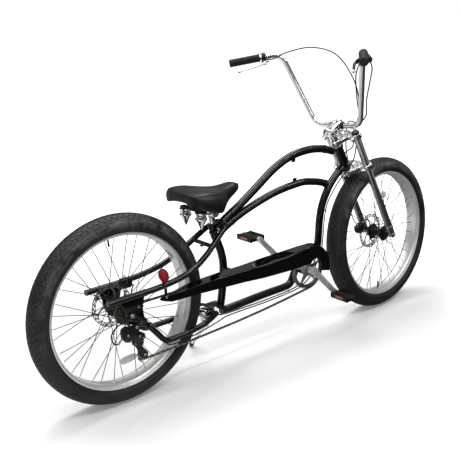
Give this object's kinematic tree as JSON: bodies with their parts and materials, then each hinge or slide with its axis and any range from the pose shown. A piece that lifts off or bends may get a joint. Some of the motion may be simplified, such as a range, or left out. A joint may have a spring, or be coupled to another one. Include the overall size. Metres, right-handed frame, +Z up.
{
  "type": "chopper bicycle",
  "caption": "Long chopper bicycle with a curved frame, high handlebar, wide tyres, chain guard and disc brakes, leaning on its side stand.",
  "frame": {"origin": "on the ground, under the middle of the parked bicycle's bounding box", "axes": "+X forward, +Y to the rider's left, +Z up; the bicycle leans 2.25 degrees to its left on the side stand"},
  "size_m": [2.0846, 0.7184, 1.2063],
  "materials": {
    "frame_paint": "gloss",
    "chrome": "polished",
    "reflector_red": "gloss",
    "saddle_vinyl": "satin",
    "black_metal": "satin",
    "chain_steel": "oiled",
    "cable_black": "matte",
    "tyre": "matte",
    "rim_alloy": "polished",
    "spoke_steel": "bright",
    "rotor_steel": "brushed",
    "grip_rubber": "matte",
    "lever_alloy": "polished",
    "black_plastic": "satin",
    "crank_alloy": "polished"
  },
  "bodies": {
    "frame": {"head_tube": "frame_paint", "upper_tube": "frame_paint", "lower_tube": "frame_paint", "down_tube": "frame_paint", "seat_tube": "frame_paint", "boom_tube": "frame_paint", "bb_shell": "frame_paint", "seat_stay_left": "frame_paint", "seat_stay_right": "frame_paint", "stay_bridge": "frame_paint", "chain_stay_left": "frame_paint", "chain_stay_right": "frame_paint", "dropout_left": "frame_paint", "dropout_right": "frame_paint", "rear_axle": "chrome", "stay_arch": "frame_paint", "stand_bracket": "chrome", "chain_guard": "frame_paint", "rear_reflector": "reflector_red", "saddle": "saddle_vinyl", "saddle_frame": "chrome", "seat_post": "chrome", "derailleur": "black_metal", "chain": "chain_steel", "rear_caliper": "black_metal", "gear_cable": "cable_black", "rear_brake_cable": "cable_black"},
    "rear_wheel": {"rear_tyre": "tyre", "rear_rim": "rim_alloy", "rear_spokes": "spoke_steel", "rear_hub": "black_metal", "freewheel": "chain_steel", "rear_rotor": "rotor_steel"},
    "fork": {"upper_crown": "chrome", "lower_crown": "chrome", "fork_leg_left": "chrome", "fork_leg_right": "chrome", "front_axle": "chrome", "stem": "chrome", "handlebar": "chrome", "grip_left": "grip_rubber", "grip_right": "grip_rubber", "brake_lever_left": "lever_alloy", "brake_lever_right": "black_plastic", "shifter": "black_plastic", "front_caliper": "black_metal", "front_brake_cable": "cable_black"},
    "front_wheel": {"front_tyre": "tyre", "front_rim": "rim_alloy", "front_spokes": "spoke_steel", "front_hub": "black_metal", "front_rotor": "rotor_steel"},
    "crank": {"chainring": "chrome", "crank_set": "crank_alloy"},
    "pedal_left": {"pedal_left": "black_plastic"},
    "pedal_right": {"pedal_right": "black_plastic"},
    "side_stand": {"side_stand": "rotor_steel"}
  },
  "joints": [
    {"name": "rear_wheel_turn", "type": "hinge", "parent": "frame", "child": "rear_wheel", "pos_m": [-0.696, -0.02638, 0.34653], "axis": [0, 0.9992, -0.0393], "continuous": true},
    {"name": "steering", "type": "hinge", "parent": "frame", "child": "fork", "pos_m": [0.432, -0.01114, 0.73443], "axis": [-0.4695, 0.0347, 0.8823], "range_deg": [-39.66, 30.34], "deforming": ["gear_cable", "rear_brake_cable"]},
    {"name": "front_wheel_turn", "type": "hinge", "parent": "fork", "child": "front_wheel", "pos_m": [0.69585, -0.02226, 0.34629], "axis": [-0.0717, 0.9944, -0.0772], "continuous": true},
    {"name": "crank_turn", "type": "hinge", "parent": "frame", "child": "crank", "pos_m": [0.172, -0.02803, 0.30477], "axis": [0, 0.9992, -0.0393], "continuous": true},
    {"name": "pedal_left_turn", "type": "hinge", "parent": "crank", "child": "pedal_left", "pos_m": [0.05391, 0.13948, 0.41636], "axis": [0, 0.9992, -0.0393], "continuous": true},
    {"name": "pedal_right_turn", "type": "hinge", "parent": "crank", "child": "pedal_right", "pos_m": [0.29009, -0.19554, 0.19317], "axis": [0, 0.9992, -0.0393], "continuous": true},
    {"name": "stand_swing", "type": "hinge", "parent": "frame", "child": "side_stand", "pos_m": [-0.298, 0.01127, 0.18413], "axis": [0.1094, 0.7744, 0.6231], "range_deg": [0, 91.6]}
  ]
}
